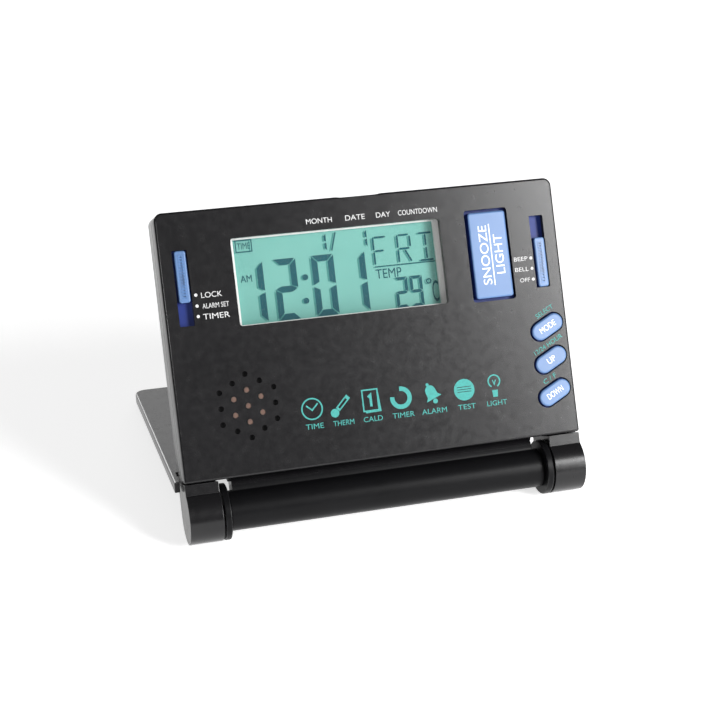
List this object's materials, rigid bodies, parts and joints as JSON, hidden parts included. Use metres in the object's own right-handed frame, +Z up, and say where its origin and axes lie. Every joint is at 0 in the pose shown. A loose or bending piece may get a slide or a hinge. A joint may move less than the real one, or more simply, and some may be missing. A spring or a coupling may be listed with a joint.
{
  "type": "folding travel alarm clock",
  "caption": "Folding travel alarm clock: a slab-shaped head with a display and buttons leans back on its hinged flat cover, which also shuts over the front.",
  "frame": {"origin": "on the table, under the middle of the clock's outline as it stands open", "axes": "+X to the clock's right along the hinge, +Y backwards away from the viewer, +Z up"},
  "size_m": [0.1032, 0.0806, 0.0728],
  "materials": {
    "charcoal_plastic": "satin moulded plastic with a fine grain",
    "black_plastic": "smooth moulded plastic",
    "blue_plastic": "smooth moulded plastic",
    "clear_plastic": "clear moulded window",
    "white_plastic": "translucent white moulding",
    "display_teal": "grey-green liquid crystal panel",
    "connector_rubber": "layered conductive rubber",
    "switch_nylon": "dull moulded nylon",
    "board_laminate": "glass-fibre laminate with green mask",
    "plated_steel": "bright plated steel",
    "nickel_plate": "nickel-plated spring steel",
    "copper_plate": "thin copper-coloured metal"
  },
  "bodies": {
    "head": {"front_shell": "charcoal_plastic", "rear_shell": "charcoal_plastic", "display_window": "clear_plastic", "battery_door": "charcoal_plastic", "display_frame": "white_plastic", "display_glass": "display_teal", "light_guide": "white_plastic", "display_connector": "connector_rubber", "backlight_lamp": "white_plastic", "circuit_board": "board_laminate", "clock_chip": "black_plastic", "quartz_crystal": "nickel_plate", "temperature_sensor": "black_plastic", "sounder_cup": "black_plastic", "sounder_membrane": "copper_plate", "snooze_switch": "switch_nylon", "mode_switch": "switch_nylon", "up_switch": "switch_nylon", "down_switch": "switch_nylon", "left_slide_switch": "switch_nylon", "right_slide_switch": "switch_nylon", "battery_cell_left": "plated_steel", "battery_cell_right": "plated_steel", "battery_contact_left": "nickel_plate", "battery_contact_right": "nickel_plate", "battery_link": "nickel_plate", "case_screw_top_left": "plated_steel", "case_screw_top_right": "plated_steel", "case_screw_bottom_left": "plated_steel", "case_screw_bottom_right": "plated_steel", "battery_door_screw": "plated_steel"},
    "cover": {"cover_panel": "charcoal_plastic", "hinge_bush_left": "black_plastic", "hinge_bush_right": "black_plastic", "hinge_pin_left": "plated_steel", "hinge_pin_right": "plated_steel", "hinge_spring": "plated_steel"},
    "snooze_button": {"snooze_button": "blue_plastic"},
    "mode_button": {"mode_button": "blue_plastic"},
    "up_button": {"up_button": "blue_plastic"},
    "down_button": {"down_button": "blue_plastic"},
    "left_knob": {"left_knob": "blue_plastic"},
    "right_knob": {"right_knob": "blue_plastic"}
  },
  "joints": [
    {"name": "cover_hinge", "type": "hinge", "parent": "head", "child": "cover", "pos_m": [0, -0.03346, 0.00685], "axis": [1, 0, 0], "range_deg": [-288.7, 0]},
    {"name": "snooze_press", "type": "slide", "parent": "head", "child": "snooze_button", "axis": [0, 0.8846, -0.4664], "range_m": [0, 0.0005], "stiffness_N_per_m": 1200, "springref_m": -0.0002},
    {"name": "mode_press", "type": "slide", "parent": "head", "child": "mode_button", "axis": [0, 0.8846, -0.4664], "range_m": [0, 0.0005], "stiffness_N_per_m": 1200, "springref_m": -0.0002},
    {"name": "up_press", "type": "slide", "parent": "head", "child": "up_button", "axis": [0, 0.8846, -0.4664], "range_m": [0, 0.0005], "stiffness_N_per_m": 1200, "springref_m": -0.0002},
    {"name": "down_press", "type": "slide", "parent": "head", "child": "down_button", "axis": [0, 0.8846, -0.4664], "range_m": [0, 0.0005], "stiffness_N_per_m": 1200, "springref_m": -0.0002},
    {"name": "left_knob_slide", "type": "slide", "parent": "head", "child": "left_knob", "axis": [0, 0.4664, 0.8846], "range_m": [-0.0054, 0]},
    {"name": "right_knob_slide", "type": "slide", "parent": "head", "child": "right_knob", "axis": [0, 0.4664, 0.8846], "range_m": [0, 0.0054]}
  ]
}
